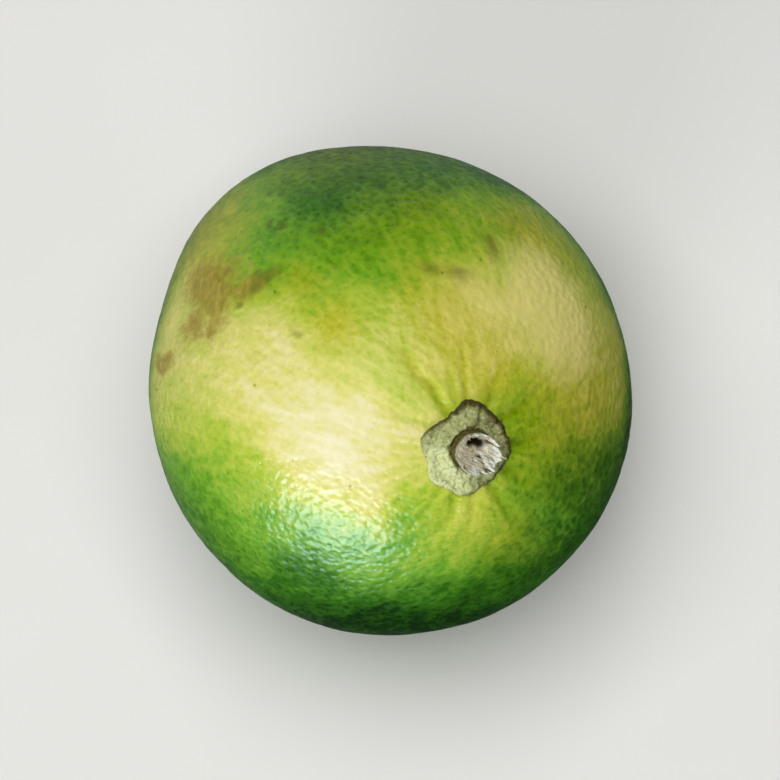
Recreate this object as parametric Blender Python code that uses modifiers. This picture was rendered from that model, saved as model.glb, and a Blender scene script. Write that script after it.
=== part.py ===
"""A whole lime that lies on a small flat spot with its stem end up.

It has the fruit, the star-shaped calyx that stays on the stem end, and the stub of the
stem that stands in the calyx. Lengths are in metres and +Z is up. Each piece is shaped
round the fruit's own axis, from the blossom end to the stem end, and is then leaned over
with the fruit. The origin is under the middle of the lime, on the surface it lies on.
"""

import math

import bmesh
import bpy
from mathutils import Matrix, Vector

MM = 0.001
DEG = math.pi / 180

# How the lime lies
STEM_LEAN = 30.0 * DEG
STEM_HEADING = -43.5 * DEG
FLAT_SPOT_DEPTH = 0.7 * MM

# The fruit: its halves meet at the equator, and swellings change the round form.
# A swelling is its polar angle from the stem, its azimuth, its height and its spread.
EQUATOR_RADIUS = 27.1 * MM
EQUATOR_OVALNESS = 0.3 * MM
STEM_HALF_LENGTH = 27.0 * MM
BLOSSOM_HALF_LENGTH = 27.6 * MM
SWELLINGS = (
    (114 * DEG, 166 * DEG, 1.5 * MM, 30 * DEG),
    (112 * DEG, 207 * DEG, -0.6 * MM, 12 * DEG),
    (88 * DEG, 20 * DEG, 0.4 * MM, 26 * DEG),
    (104 * DEG, 240 * DEG, -0.2 * MM, 18 * DEG),
    (70 * DEG, 112 * DEG, 0.35 * MM, 26 * DEG),
    (122 * DEG, 96 * DEG, -0.3 * MM, 22 * DEG),
    (96 * DEG, 300 * DEG, 0.35 * MM, 26 * DEG),
)
NIPPLE_HEIGHT = 2.5 * MM
NIPPLE_SPREAD = 7.5 * DEG
NIPPLE_FURROW_DEPTH = 0.3 * MM
NIPPLE_FURROW_POLAR = 17 * DEG
NIPPLE_FURROW_SPREAD = 5 * DEG
CALYX_SEAT_DEPTH = 0.5 * MM
CALYX_SEAT_SPREAD = 8.5 * DEG
FRUIT_SEGMENTS = 60
FRUIT_RINGS = 40
CUT_TOLERANCE = 0.01 * MM

# Neighbouring pieces stay this far apart
GAP = 0.3 * MM

# Edges sharper than this aren't shaded smooth
SHARP_EDGE = 40 * DEG

# The calyx: a ring with five broad lobes, pressed on the skin
LOBE_HEADINGS = (-49 * DEG, 41 * DEG, 134 * DEG, 211 * DEG, 262 * DEG)
LOBE_SPREAD = 22 * DEG
CALYX_REACH = 4.55 * MM
LOBE_REACH = 0.95 * MM
CALYX_THICKNESS = 1.05 * MM
CALYX_EDGE_THICKNESS = 0.45 * MM
CALYX_EDGE_FULLNESS = 0.6
CALYX_SEGMENTS = 60
CALYX_RIM_SEGMENTS = 12

# The stub of the stem, with a hollow torn top
STUB_RADIUS = 2.35 * MM
STUB_HEIGHT = 2.8 * MM
STUB_FLARE = 0.1 * MM
STUB_WAIST = 0.15 * MM
STUB_LIP = 0.3 * MM
STUB_HOLLOW_RADIUS = 1.5 * MM
STUB_HOLLOW_DEPTH = 0.9 * MM
STUB_STEPS = 32

# Name: colour, roughness, metallic
FINISHES = {
    "peel": ((0.30, 0.42, 0.06, 1.0), 0.38, 0.0),
    "dry_calyx": ((0.36, 0.37, 0.22, 1.0), 0.8, 0.0),
    "stem_wood": ((0.33, 0.30, 0.22, 1.0), 0.85, 0.0),
}


def clear_scene():
    """Removes whatever the scene holds."""
    for obj in list(bpy.data.objects):
        bpy.data.objects.remove(obj)


def finish(name):
    """The named finish as a material."""
    colour, roughness, metallic = FINISHES[name]
    material = bpy.data.materials.new(name)
    material.use_nodes = True
    shader = material.node_tree.nodes["Principled BSDF"]
    shader.inputs["Base Color"].default_value = colour
    shader.inputs["Roughness"].default_value = roughness
    shader.inputs["Metallic"].default_value = metallic
    material.diffuse_color = colour
    return material


def bell(distance, spread):
    """A smooth bump: 1 at no distance, and nearly 0 past twice the spread."""
    return math.exp(-((distance / spread) ** 2))


def around(polar, azimuth):
    """The unit vector at that polar angle from the stem and that azimuth."""
    return Vector(
        (
            math.sin(polar) * math.cos(azimuth),
            math.sin(polar) * math.sin(azimuth),
            math.cos(polar),
        )
    )


def swell(direction):
    """How far the skin stands out from the plain oval there."""
    azimuth = math.atan2(direction.y, direction.x)
    from_stem = direction.angle(Vector((0, 0, 1)))
    from_blossom = math.pi - from_stem
    belt = math.sin(from_stem) ** 2
    height = EQUATOR_OVALNESS * math.cos(2 * azimuth) * belt
    for polar, heading, swelling, spread in SWELLINGS:
        height += swelling * bell(direction.angle(around(polar, heading)), spread)
    height += NIPPLE_HEIGHT * bell(from_blossom, NIPPLE_SPREAD)
    height -= NIPPLE_FURROW_DEPTH * bell(
        from_blossom - NIPPLE_FURROW_POLAR, NIPPLE_FURROW_SPREAD
    )
    height -= CALYX_SEAT_DEPTH * bell(from_stem, CALYX_SEAT_SPREAD)
    return height


def skin_point(direction):
    """Where the skin is in that direction, in the fruit's own frame."""
    half_length = STEM_HALF_LENGTH if direction.z > 0 else BLOSSOM_HALF_LENGTH
    oval = Vector((EQUATOR_RADIUS, EQUATOR_RADIUS, half_length))
    return direction * oval + direction * swell(direction)


def skin_height(reach, azimuth):
    """How high the skin is near the stem, at that distance from the axis."""
    return skin_point(around(math.asin(reach / EQUATOR_RADIUS), azimuth)).z


def lean():
    """The rotation from upright to the way that the lime lies."""
    return Matrix.Rotation(STEM_HEADING, 3, "Z") @ Matrix.Rotation(STEM_LEAN, 3, "Y")


def new_object(name, mesh, material, collection, parent):
    """A smooth-shaded object of that mesh, carried by the parent."""
    mesh.materials.append(material)
    mesh.shade_smooth()
    mesh.set_sharp_from_angle(angle=SHARP_EDGE)
    obj = bpy.data.objects.new(name, mesh)
    obj.parent = parent
    collection.objects.link(obj)
    return obj


def fruit_mesh():
    """The fruit: a sphere drawn out to the skin, and cut level where it lies."""
    bm = bmesh.new()
    bmesh.ops.create_uvsphere(
        bm, u_segments=FRUIT_SEGMENTS, v_segments=FRUIT_RINGS, radius=1.0
    )
    for vertex in bm.verts:
        vertex.co = skin_point(vertex.co.normalized())
    down = lean().inverted() @ Vector((0, 0, -1))
    lowest = max(down.dot(vertex.co) for vertex in bm.verts)
    cut = bmesh.ops.bisect_plane(
        bm,
        geom=bm.verts[:] + bm.edges[:] + bm.faces[:],
        dist=CUT_TOLERANCE,
        plane_co=down * (lowest - FLAT_SPOT_DEPTH),
        plane_no=down,
        clear_outer=True,
    )
    rim = [part for part in cut["geom_cut"] if isinstance(part, bmesh.types.BMEdge)]
    bmesh.ops.contextual_create(bm, geom=rim)
    bmesh.ops.recalc_face_normals(bm, faces=bm.faces)
    mesh = bpy.data.meshes.new("lime_fruit")
    bm.to_mesh(mesh)
    bm.free()
    return mesh


def calyx_reach(azimuth):
    """How far the calyx reaches from the axis at that azimuth."""
    lobes = 0.0
    for heading in LOBE_HEADINGS:
        turn = math.remainder(azimuth - heading, math.tau)
        lobes += bell(turn, LOBE_SPREAD)
    return CALYX_REACH + LOBE_REACH * lobes


def calyx_mesh():
    """The calyx: a torus flattened to a lobed ring that follows the skin."""
    tube = 0.5
    bpy.ops.mesh.primitive_torus_add(
        major_segments=CALYX_SEGMENTS,
        minor_segments=CALYX_RIM_SEGMENTS,
        major_radius=2 * tube,
        minor_radius=tube,
    )
    torus = bpy.context.object
    mesh = torus.data
    bpy.data.objects.remove(torus)
    hole = STUB_RADIUS + GAP
    for vertex in mesh.vertices:
        x, y, z = vertex.co
        azimuth = math.atan2(y, x)
        outward = (math.hypot(x, y) - tube) / (2 * tube)
        upward = math.copysign(abs(z / tube) ** CALYX_EDGE_FULLNESS, z)
        reach = hole + (calyx_reach(azimuth) - hole) * outward
        thickness = CALYX_THICKNESS + (CALYX_EDGE_THICKNESS - CALYX_THICKNESS) * outward
        rise = thickness * (1 + upward) / 2
        height = skin_height(reach, azimuth) + GAP + rise
        vertex.co = (reach * math.cos(azimuth), reach * math.sin(azimuth), height)
    mesh.name = "calyx"
    return mesh


def stub_object(material, collection, parent):
    """The stub: a turned profile, from the middle of its hollow top to its foot."""
    foot = skin_height(0, 0) + GAP
    top = foot + STUB_HEIGHT
    hollow = top - STUB_HOLLOW_DEPTH
    profile = (
        (0, hollow),
        (STUB_HOLLOW_RADIUS - STUB_LIP, hollow + STUB_LIP / 2),
        (STUB_HOLLOW_RADIUS, top - STUB_LIP),
        (STUB_HOLLOW_RADIUS + STUB_LIP, top),
        (STUB_RADIUS - STUB_LIP / 2, top),
        (STUB_RADIUS + STUB_FLARE, top - STUB_LIP),
        (STUB_RADIUS - STUB_WAIST, (foot + top) / 2),
        (STUB_RADIUS, foot + STUB_LIP),
        (STUB_RADIUS - STUB_LIP / 2, foot),
        (0, foot),
    )
    bm = bmesh.new()
    corners = [bm.verts.new((radius, 0, height)) for radius, height in profile]
    for start, end in zip(corners, corners[1:]):
        bm.edges.new((start, end))
    mesh = bpy.data.meshes.new("stem_stub")
    bm.to_mesh(mesh)
    bm.free()
    stub = new_object("stem_stub", mesh, material, collection, parent)
    turn = stub.modifiers.new("turned", "SCREW")
    turn.steps = STUB_STEPS
    turn.render_steps = STUB_STEPS
    turn.use_merge_vertices = True
    turn.merge_threshold = 0.00001
    turn.use_normal_calculate = True
    return stub


def world_corners(objects):
    """The lowest and the highest corner of those objects together."""
    bpy.context.view_layer.update()
    graph = bpy.context.evaluated_depsgraph_get()
    points = []
    for obj in objects:
        seen = obj.evaluated_get(graph)
        points += [seen.matrix_world @ vertex.co for vertex in seen.to_mesh().vertices]
        seen.to_mesh_clear()
    low = Vector(min(point[axis] for point in points) for axis in range(3))
    high = Vector(max(point[axis] for point in points) for axis in range(3))
    return low, high


def build():
    """The lime, set down with its origin under its middle."""
    clear_scene()
    collection = bpy.data.collections.new("lime")
    bpy.context.scene.collection.children.link(collection)
    axis = bpy.data.objects.new("fruit_axis", None)
    axis.rotation_euler = lean().to_euler()
    collection.objects.link(axis)
    pieces = [
        new_object("lime_fruit", fruit_mesh(), finish("peel"), collection, axis),
        new_object("calyx", calyx_mesh(), finish("dry_calyx"), collection, axis),
        stub_object(finish("stem_wood"), collection, axis),
    ]
    low, high = world_corners(pieces)
    axis.location = (-(low.x + high.x) / 2, -(low.y + high.y) / 2, -low.z)


build()
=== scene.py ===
"""The looks of a whole lime that lies with its stem end up and leaning over.

The fine skin is drawn over the same oval, swellings and nipple as the solid model, and
then gets its oil glands, the creases round the stem, the scar of the style and the colour
of each patch. The calyx and the stub of the stem are modelled in full. Lengths are in
metres, +Z is up, and the fruit's own frame has its axis along local +Z, towards the stem.
"""

import logging
import math
import random
from dataclasses import dataclass, field
from enum import Enum
from functools import cached_property

import bmesh
import bpy
from mathutils import Matrix, Vector, kdtree, noise


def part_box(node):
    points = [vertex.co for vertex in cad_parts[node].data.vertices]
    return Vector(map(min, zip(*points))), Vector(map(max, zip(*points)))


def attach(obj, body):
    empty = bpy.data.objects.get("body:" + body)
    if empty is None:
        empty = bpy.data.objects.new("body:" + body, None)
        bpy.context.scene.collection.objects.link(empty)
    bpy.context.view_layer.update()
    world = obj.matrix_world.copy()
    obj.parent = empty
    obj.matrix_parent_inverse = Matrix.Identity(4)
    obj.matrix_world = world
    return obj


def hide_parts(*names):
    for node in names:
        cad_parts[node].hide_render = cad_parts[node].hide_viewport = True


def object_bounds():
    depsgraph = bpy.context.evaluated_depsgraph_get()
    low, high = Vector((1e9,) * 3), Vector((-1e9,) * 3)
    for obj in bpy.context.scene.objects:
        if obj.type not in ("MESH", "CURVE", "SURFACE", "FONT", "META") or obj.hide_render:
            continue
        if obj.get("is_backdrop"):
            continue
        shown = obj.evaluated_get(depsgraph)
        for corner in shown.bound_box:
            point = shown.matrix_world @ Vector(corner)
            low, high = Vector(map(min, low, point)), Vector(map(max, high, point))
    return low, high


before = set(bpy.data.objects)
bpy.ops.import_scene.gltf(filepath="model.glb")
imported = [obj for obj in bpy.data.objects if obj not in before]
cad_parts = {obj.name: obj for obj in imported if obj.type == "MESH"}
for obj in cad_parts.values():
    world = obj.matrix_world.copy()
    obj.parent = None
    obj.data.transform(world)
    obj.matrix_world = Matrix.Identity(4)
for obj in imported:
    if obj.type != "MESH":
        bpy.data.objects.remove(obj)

log = logging.getLogger("lime")

MM = 0.001
DEG = math.pi / 180
UP = Vector((0.0, 0.0, 1.0))
GOLDEN_SHARE = 0.618034

Colour = tuple[float, float, float]
Stops = tuple[tuple[float, Colour], ...]


class Body(Enum):
    """The rigid bodies that pieces ride on."""

    ROOT = "root"


class Slot(Enum):
    """The record's material slots."""

    PEEL = "peel"
    CALYX = "dry_calyx"
    STUB = "stem_wood"


class SkinMark(Enum):
    """What the skin's points carry for its finish, as attributes of the mesh."""

    GLAND = "gland"
    RIPENESS = "ripeness"
    GOLD = "gold"
    BLUSH = "blush"
    RUSSET = "russet"
    SMUDGE = "smudge"
    STREAK = "streak"
    CREASE = "crease"


def bell(distance: float, spread: float) -> float:
    """A smooth bump: 1 at no distance, 0.37 at its spread and nearly 0 past twice that."""
    return math.exp(-((distance / spread) ** 2))


def step(value: float, low: float, high: float) -> float:
    """A smooth step from 0 at low to 1 at high."""
    share = min(1.0, max(0.0, (value - low) / (high - low)))
    return share * share * (3 - 2 * share)


def towards(azimuth: float) -> Vector:
    """The level unit vector at an azimuth in radians."""
    return Vector((math.cos(azimuth), math.sin(azimuth), 0.0))


def around(polar: float, azimuth: float) -> Vector:
    """The unit vector at an angle from the stem's axis and one round it, in radians."""
    ring = math.sin(polar)
    return Vector((ring * math.cos(azimuth), ring * math.sin(azimuth), math.cos(polar)))


def rgb(red: int, green: int, blue: int) -> Colour:
    """A screen colour, from 0 to 255, as the linear colour that shaders take."""
    shares = (channel / 255 for channel in (red, green, blue))
    return tuple(s / 12.92 if s <= 0.04045 else ((s + 0.055) / 1.055) ** 2.4 for s in shares)


def stops(*rows: tuple[float, int, int, int]) -> Stops:
    """The stops of a colour ramp, from rows of a place and a screen colour."""
    return tuple((place, rgb(*colour)) for place, *colour in rows)


def table(kind: type, *rows: tuple[float, ...]) -> tuple:
    """One item of a kind for each row of its values."""
    return tuple(kind(*row) for row in rows)


@dataclass(frozen=True)
class Spot:
    """A place on the skin, by its angles from the stem and round it, in degrees."""

    polar: float
    azimuth: float

    @cached_property
    def middle(self) -> Vector:
        """The direction of the place."""
        return around(self.polar * DEG, self.azimuth * DEG)


@dataclass(frozen=True)
class Swelling(Spot):
    """A broad rise or dip of the skin, in millimetres, that spreads some degrees."""

    height: float
    spread: float


@dataclass(frozen=True)
class Tint(Spot):
    """A place of its own ripeness, from 0, deep green, to 1, cream, that spreads some degrees."""

    ripeness: float
    spread: float


@dataclass(frozen=True)
class Patch(Spot):
    """An uneven blotch on the skin.

    Attributes:
        along: Its half length, in millimetres.
        across: Its half width, in millimetres.
        turn: The turn of its length from the way to the stem, in degrees.
        strength: How strong it is in the middle.
    """

    along: float
    across: float
    turn: float
    strength: float

    @cached_property
    def axes(self) -> tuple[Vector, Vector]:
        """The blotch's own axes on the skin.

        Returns:
            The directions of its length and width.
        """
        to_stem = (UP - self.middle * self.middle.z).normalized()
        length = Matrix.Rotation(self.turn * DEG, 3, self.middle) @ to_stem
        return length, self.middle.cross(length)

    def value(self, point: Vector, radius: float) -> float:
        """How deep inside the blotch a point is.

        Args:
            point: The point's direction from the fruit's middle.
            radius: The fruit's radius.

        Returns:
            The strength in the middle, 0 at the edge, and below 0 outside.
        """
        if point.dot(self.middle) < 0.3:
            return -1.0
        length, width = self.axes
        along = point.dot(length) * radius / (self.along * MM)
        across = point.dot(width) * radius / (self.across * MM)
        return max(-1.0, self.strength * (1 - math.hypot(along, across)))


@dataclass(frozen=True)
class Crease:
    """A groove in the skin that runs out from the calyx.

    Attributes:
        azimuth: Its heading, in degrees.
        depth: Its depth at the calyx, in millimetres.
        reach: The polar angle at which it has faded, in degrees.
        width: Its half width, in millimetres.
    """

    azimuth: float
    depth: float
    reach: float
    width: float


@dataclass(frozen=True)
class FruitForm:
    """The form that the skin is drawn over, in the fruit's own frame.

    Attributes:
        lean: How far the stem's axis leans from upright.
        heading: Which way it leans, from +X.
        equator_radius: The radius of the oval.
        ovalness: How much the equator departs from a circle.
        stem_half: The half length towards the stem.
        blossom_half: The half length towards the nipple.
        swellings: The broad rises and dips.
    """

    lean: float = 30.0 * DEG
    heading: float = -43.5 * DEG
    equator_radius: float = 27.1 * MM
    ovalness: float = 0.3 * MM
    stem_half: float = 27.0 * MM
    blossom_half: float = 27.6 * MM
    swellings: tuple[Swelling, ...] = table(
        Swelling,
        (114, 166, 1.5, 30),
        (112, 207, -0.6, 12),
        (88, 20, 0.4, 26),
        (104, 240, -0.2, 18),
        (70, 112, 0.35, 26),
        (122, 96, -0.3, 22),
        (96, 300, 0.35, 26),
    )
    nipple_height: float = 2.5 * MM
    nipple_spread: float = 7.5 * DEG
    furrow_depth: float = 0.3 * MM
    furrow_polar: float = 17 * DEG
    furrow_spread: float = 5 * DEG
    seat_depth: float = 0.5 * MM
    seat_spread: float = 8.5 * DEG

    def turned(self) -> Matrix:
        """The rotation from the fruit's own frame to the way that it lies."""
        return Matrix.Rotation(self.heading, 3, "Z") @ Matrix.Rotation(self.lean, 3, "Y")

    def swell(self, direction: Vector) -> float:
        """How far the skin stands out from the plain oval.

        Args:
            direction: A unit vector in the fruit's own frame.

        Returns:
            The height over the oval.
        """
        azimuth = math.atan2(direction.y, direction.x)
        from_stem = direction.angle(UP)
        from_blossom = math.pi - from_stem
        height = self.ovalness * math.cos(2 * azimuth) * math.sin(from_stem) ** 2
        for rise in self.swellings:
            height += rise.height * MM * bell(direction.angle(rise.middle), rise.spread * DEG)
        height += self.nipple_height * bell(from_blossom, self.nipple_spread)
        height -= self.furrow_depth * bell(from_blossom - self.furrow_polar, self.furrow_spread)
        height -= self.seat_depth * bell(from_stem, self.seat_spread)
        return height

    def skin(self, direction: Vector) -> Vector:
        """Where the plain skin is in a direction from the fruit's middle.

        Args:
            direction: A unit vector in the fruit's own frame.

        Returns:
            The point in the fruit's own frame.
        """
        half = self.stem_half if direction.z > 0 else self.blossom_half
        oval = Vector((self.equator_radius, self.equator_radius, half))
        return direction * oval + direction * self.swell(direction)

    def skin_height(self, reach: float, azimuth: float) -> float:
        """How high the skin is at a distance from the stem's axis and an angle round it."""
        return self.skin(around(math.asin(reach / self.equator_radius), azimuth)).z


@dataclass
class Lie:
    """Where the fruit's own frame lies in the world, worked out from the solid fruit's box."""

    form: FruitForm
    middle: Vector = field(init=False)

    def __post_init__(self) -> None:
        """Measures the plain skin and lines its box up with the solid fruit's."""
        turned = self.form.turned()
        polars = [degrees * DEG for degrees in range(0, 181, 2)]
        azimuths = [degrees * DEG for degrees in range(0, 360, 3)]
        points = [turned @ self.form.skin(around(p, a)) for p in polars for a in azimuths]
        low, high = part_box("lime_fruit")
        across = [(min(p[i] for p in points) + max(p[i] for p in points)) / 2 for i in (0, 1)]
        top = max(p.z for p in points)
        self.middle = Vector(
            ((low[0] + high[0]) / 2 - across[0], (low[1] + high[1]) / 2 - across[1], high[2] - top)
        )

    def world(self, point: Vector) -> Vector:
        """A point of the fruit's own frame, in the world."""
        return self.form.turned() @ point + self.middle


class Shade:
    """A number or colour on its way through the nodes of a material or the surroundings."""

    def __init__(self, board: "NodeBoard", socket: bpy.types.NodeSocket) -> None:
        """Wraps the output of a board's node that the value comes from."""
        self.board = board
        self.socket = socket

    def __add__(self, other: "Shade | float") -> "Shade":
        """The sum."""
        return self.board.maths("ADD", self, other)

    __radd__ = __add__

    def __sub__(self, other: "Shade | float") -> "Shade":
        """The difference."""
        return self.board.maths("SUBTRACT", self, other)

    def __rsub__(self, other: "Shade | float") -> "Shade":
        """The difference from a number."""
        return self.board.maths("SUBTRACT", other, self)

    def __mul__(self, other: "Shade | float") -> "Shade":
        """The product."""
        return self.board.maths("MULTIPLY", self, other)

    __rmul__ = __mul__

    def step(self, low: float, high: float) -> "Shade":
        """A smooth step of this value.

        Args:
            low: Where the step starts, at 0.
            high: Where it ends, at 1.

        Returns:
            The height of the step.
        """
        shape = {"interpolation_type": "SMOOTHSTEP"}
        sockets = {"Value": self, "From Min": low, "From Max": high}
        return self.board.node("ShaderNodeMapRange", shape, sockets, "Result")


class NodeBoard:
    """The nodes of one material, or of the surroundings."""

    def __init__(self, owner: bpy.types.Material | bpy.types.World) -> None:
        """Starts with the one shader that a new material or world has.

        Args:
            owner: The material or world.
        """
        self.owner = owner
        owner.use_nodes = True
        self.tree = owner.node_tree
        self.shader = next(node for node in self.tree.nodes if node.outputs)

    def put(self, socket: bpy.types.NodeSocket, value: "Shade | object") -> None:
        """Links a shade to an input, or sets the input's own value.

        Args:
            socket: The input.
            value: A shade, or a plain value.
        """
        if isinstance(value, Shade):
            self.tree.links.new(value.socket, socket)
        else:
            socket.default_value = value

    def node(self, kind: str, settings: dict, sockets: dict, output: str | int = 0) -> Shade:
        """Adds a node.

        Args:
            kind: The node's type.
            settings: Its settings, set before its inputs.
            sockets: Its inputs, by name or place, as shades or plain values.
            output: The output to read, by name or place.

        Returns:
            That output.
        """
        made = self.tree.nodes.new(kind)
        for name, value in settings.items():
            if name == "stops":
                self._set_stops(made.color_ramp, value)
            else:
                setattr(made, name, value)
        for name, value in sockets.items():
            self.put(made.inputs[name], value)
        return Shade(self, made.outputs[output])

    @staticmethod
    def _set_stops(ramp: bpy.types.ColorRamp, rows: Stops) -> None:
        """Gives a ramp its stops.

        Args:
            ramp: The ramp.
            rows: The place and colour of each stop.
        """
        while len(ramp.elements) < len(rows):
            ramp.elements.new(1.0)
        for element, (place, colour) in zip(ramp.elements, rows):
            element.position = place
            element.color = (*colour, 1.0)

    def maths(self, operation: str, first: Shade | float, second: Shade | float) -> Shade:
        """The sum, difference or product of two numbers, by a Math node."""
        return self.node("ShaderNodeMath", {"operation": operation}, {0: first, 1: second})

    def vectors(self, operation: str, *inputs: "Shade | tuple") -> Shade:
        """The sum, product or the like of some vectors, by a Vector Math node."""
        return self.node("ShaderNodeVectorMath", {"operation": operation}, dict(enumerate(inputs)))

    def mark(self, name: str) -> Shade:
        """A value that the mesh carries."""
        return self.node("ShaderNodeAttribute", {"attribute_name": name}, {}, "Fac")

    def place(self) -> Shade:
        """The point on the object."""
        return self.node("ShaderNodeTexCoord", {}, {}, "Object")

    def ahead(self, way: Vector) -> Shade:
        """How far round to a given way the surroundings lie, from -1 to 1."""
        sockets = {0: self.node("ShaderNodeTexCoord", {}, {}, "Generated"), 1: way}
        return self.node("ShaderNodeVectorMath", {"operation": "DOT_PRODUCT"}, sockets, "Value")

    def grain(
        self, size: float, detail: float = 2.0, rough: float = 0.5, place: Shade | None = None
    ) -> Shade:
        """Noise from 0 to 1.

        Args:
            size: The size of its largest spots.
            detail: How many finer layers it has.
            rough: How strong those are.
            place: Where the noise is read, or None for the point on the object.

        Returns:
            The noise.
        """
        place = place or self.place()
        sockets = {"Vector": place, "Scale": 1 / size, "Detail": detail, "Roughness": rough}
        return self.node("ShaderNodeTexNoise", {}, sockets)

    def cells(self, size: float, smooth: float = 0.0) -> Shade:
        """The distance to the nearest of many scattered points.

        Args:
            size: About how far apart the points are.
            smooth: How rounded the cells' borders are, 0 for sharp ones.

        Returns:
            The distance, 0 at a point.
        """
        settings = {"feature": "SMOOTH_F1" if smooth else "F1"}
        sockets = {"Vector": self.place(), "Scale": 1 / size}
        if smooth:
            sockets["Smoothness"] = smooth
        return self.node("ShaderNodeTexVoronoi", settings, sockets, "Distance")

    def mix(self, share: Shade | float, first: Shade | Colour, second: Shade | Colour) -> Shade:
        """The colour between two, the first at a share of 0 and the second at 1."""
        first, second = (c if isinstance(c, Shade) else (*c, 1.0) for c in (first, second))
        return self.node("ShaderNodeMix", {"data_type": "RGBA"}, {0: share, 6: first, 7: second}, 2)

    def ramp(self, value: Shade, rows: Stops) -> Shade:
        """The colour that a ramp with some stops has at a value."""
        return self.node("ShaderNodeValToRGB", {"stops": rows}, {"Fac": value}, "Color")

    def relief(self, height: Shade) -> Shade:
        """The normal of a surface with that relief, whose height is in millimetres."""
        return self.node("ShaderNodeBump", {}, {"Height": height, "Distance": MM}, "Normal")

    def dress(self, **values: "Shade | object") -> None:
        """Sets the shader's own inputs.

        Args:
            **values: The inputs, with _ for each space in their names.
        """
        for name, value in values.items():
            title = name.replace("_", " ").title().replace("Ior", "IOR")
            self.put(self.shader.inputs[title], value)


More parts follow.
